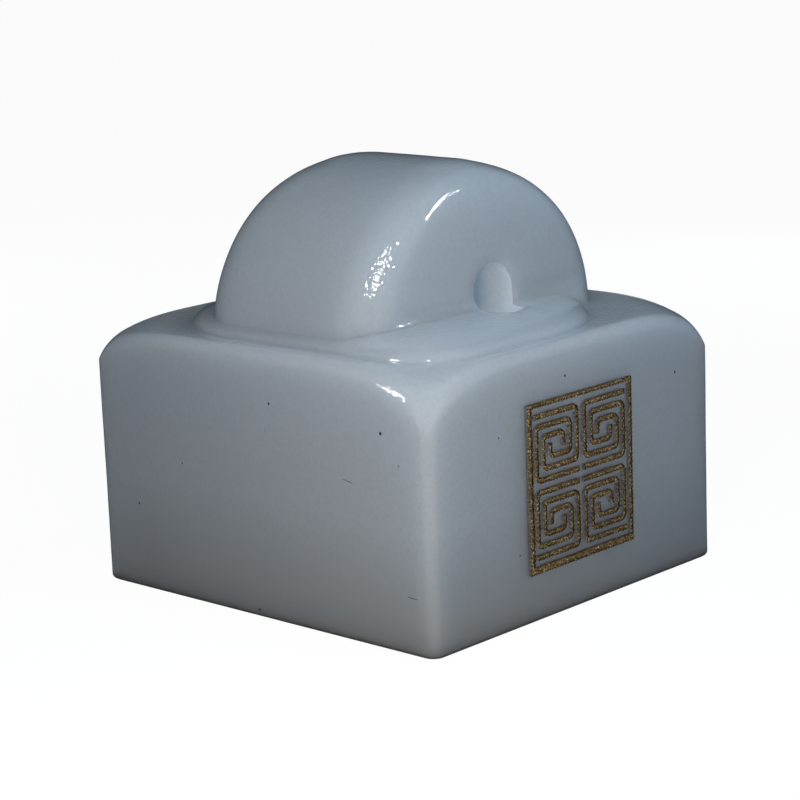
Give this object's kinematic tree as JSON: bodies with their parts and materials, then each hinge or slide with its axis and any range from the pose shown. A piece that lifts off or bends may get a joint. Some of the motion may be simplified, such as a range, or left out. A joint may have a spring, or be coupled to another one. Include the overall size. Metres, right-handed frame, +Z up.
{
  "type": "seal stamp",
  "caption": "Square carved jade seal stamp with an arched knob on top, a cord hole through the knob, and a gilt fret panel set into one side.",
  "frame": {"origin": "middle of the printing face, which the seal stands on", "axes": "+Z up from the printing face to the knob's crest, the gilt panel faces -Y, and the cord hole runs along Y"},
  "size_m": [0.05, 0.053, 0.0497],
  "materials": {
    "white_jade": "hand polished, slightly translucent pale blue-grey white jade",
    "gilding": "granular antique gold paint in engraved lines"
  },
  "bodies": {
    "root": {"seal_body": "white_jade", "gilt_frame": "gilding", "gilt_fret_lower_left_1": "gilding", "gilt_fret_lower_left_2": "gilding", "gilt_fret_lower_right_1": "gilding", "gilt_fret_lower_right_2": "gilding", "gilt_fret_upper_left_1": "gilding", "gilt_fret_upper_left_2": "gilding", "gilt_fret_upper_right_1": "gilding", "gilt_fret_upper_right_2": "gilding"}
  },
  "joints": []
}
